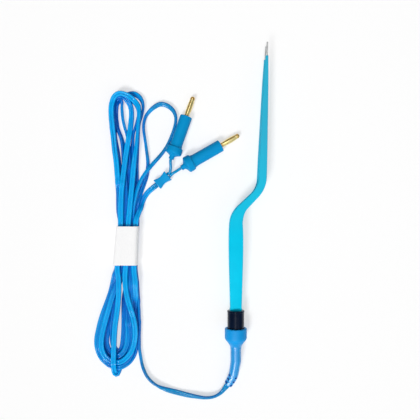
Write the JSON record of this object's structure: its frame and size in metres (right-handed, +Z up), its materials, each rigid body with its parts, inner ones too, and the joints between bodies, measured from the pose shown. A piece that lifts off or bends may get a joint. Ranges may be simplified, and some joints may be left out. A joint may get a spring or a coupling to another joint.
{
  "type": "bipolar forceps",
  "caption": "Bayonet bipolar forceps with coated tines, a plug-on connector, a hanked flat cord in a paper band, a splitter and single-pin plugs.",
  "frame": {"origin": "on the table, under the middle of the forceps and its connector", "axes": "+Y towards the tips, +X to the side that the bayonet steps to, +Z up from the table"},
  "size_m": [0.1326, 0.2729, 0.0167],
  "materials": {
    "steel": "satin",
    "insulation": "semi-gloss coating",
    "black_moulding": "gloss",
    "gilt": "gilt, polished",
    "boot": "satin",
    "socket_block": "matte",
    "plug_moulding": "satin",
    "cord": "soft sheath, semi-gloss",
    "band": "matte"
  },
  "bodies": {
    "base": {"ferrule": "black_moulding", "contact_pin_upper": "gilt", "contact_pin_lower": "gilt"},
    "upper_tine": {"tine_upper": "steel", "coat_upper": "insulation"},
    "lower_tine": {"tine_lower": "steel", "coat_lower": "insulation"},
    "cord_set": {"connector_boot": "boot", "connector_core": "socket_block", "socket_contact_upper": "gilt", "socket_contact_lower": "gilt", "cord_run": "cord", "cord_hank": "cord", "hank_band": "band", "cord_side_loop": "cord", "cord_tail": "cord", "splitter": "plug_moulding", "lead_a": "cord", "lead_b": "cord", "plug_boot_a": "plug_moulding", "plug_pin_a": "gilt", "plug_spring_a": "gilt", "plug_boot_b": "plug_moulding", "plug_pin_b": "gilt", "plug_spring_b": "gilt"}
  },
  "joints": [
    {"name": "upper_tine_squeeze", "type": "hinge", "parent": "base", "child": "upper_tine", "pos_m": [-0.00789, -0.07161, 0.01022], "axis": [-1, 0, 0], "range_deg": [0, 1.45], "stiffness_Nm_per_rad": 6},
    {"name": "lower_tine_squeeze", "type": "hinge", "parent": "base", "child": "lower_tine", "pos_m": [-0.00789, -0.07161, 0.00648], "axis": [1, 0, 0], "range_deg": [0, 1.45], "stiffness_Nm_per_rad": 6},
    {"name": "connector_pull", "type": "slide", "parent": "base", "child": "cord_set", "axis": [0, -1, 0], "range_m": [0, 0.01]}
  ],
  "couplings": [
    {"joint": "lower_tine_squeeze", "follows": "upper_tine_squeeze", "ratio": 1}
  ]
}
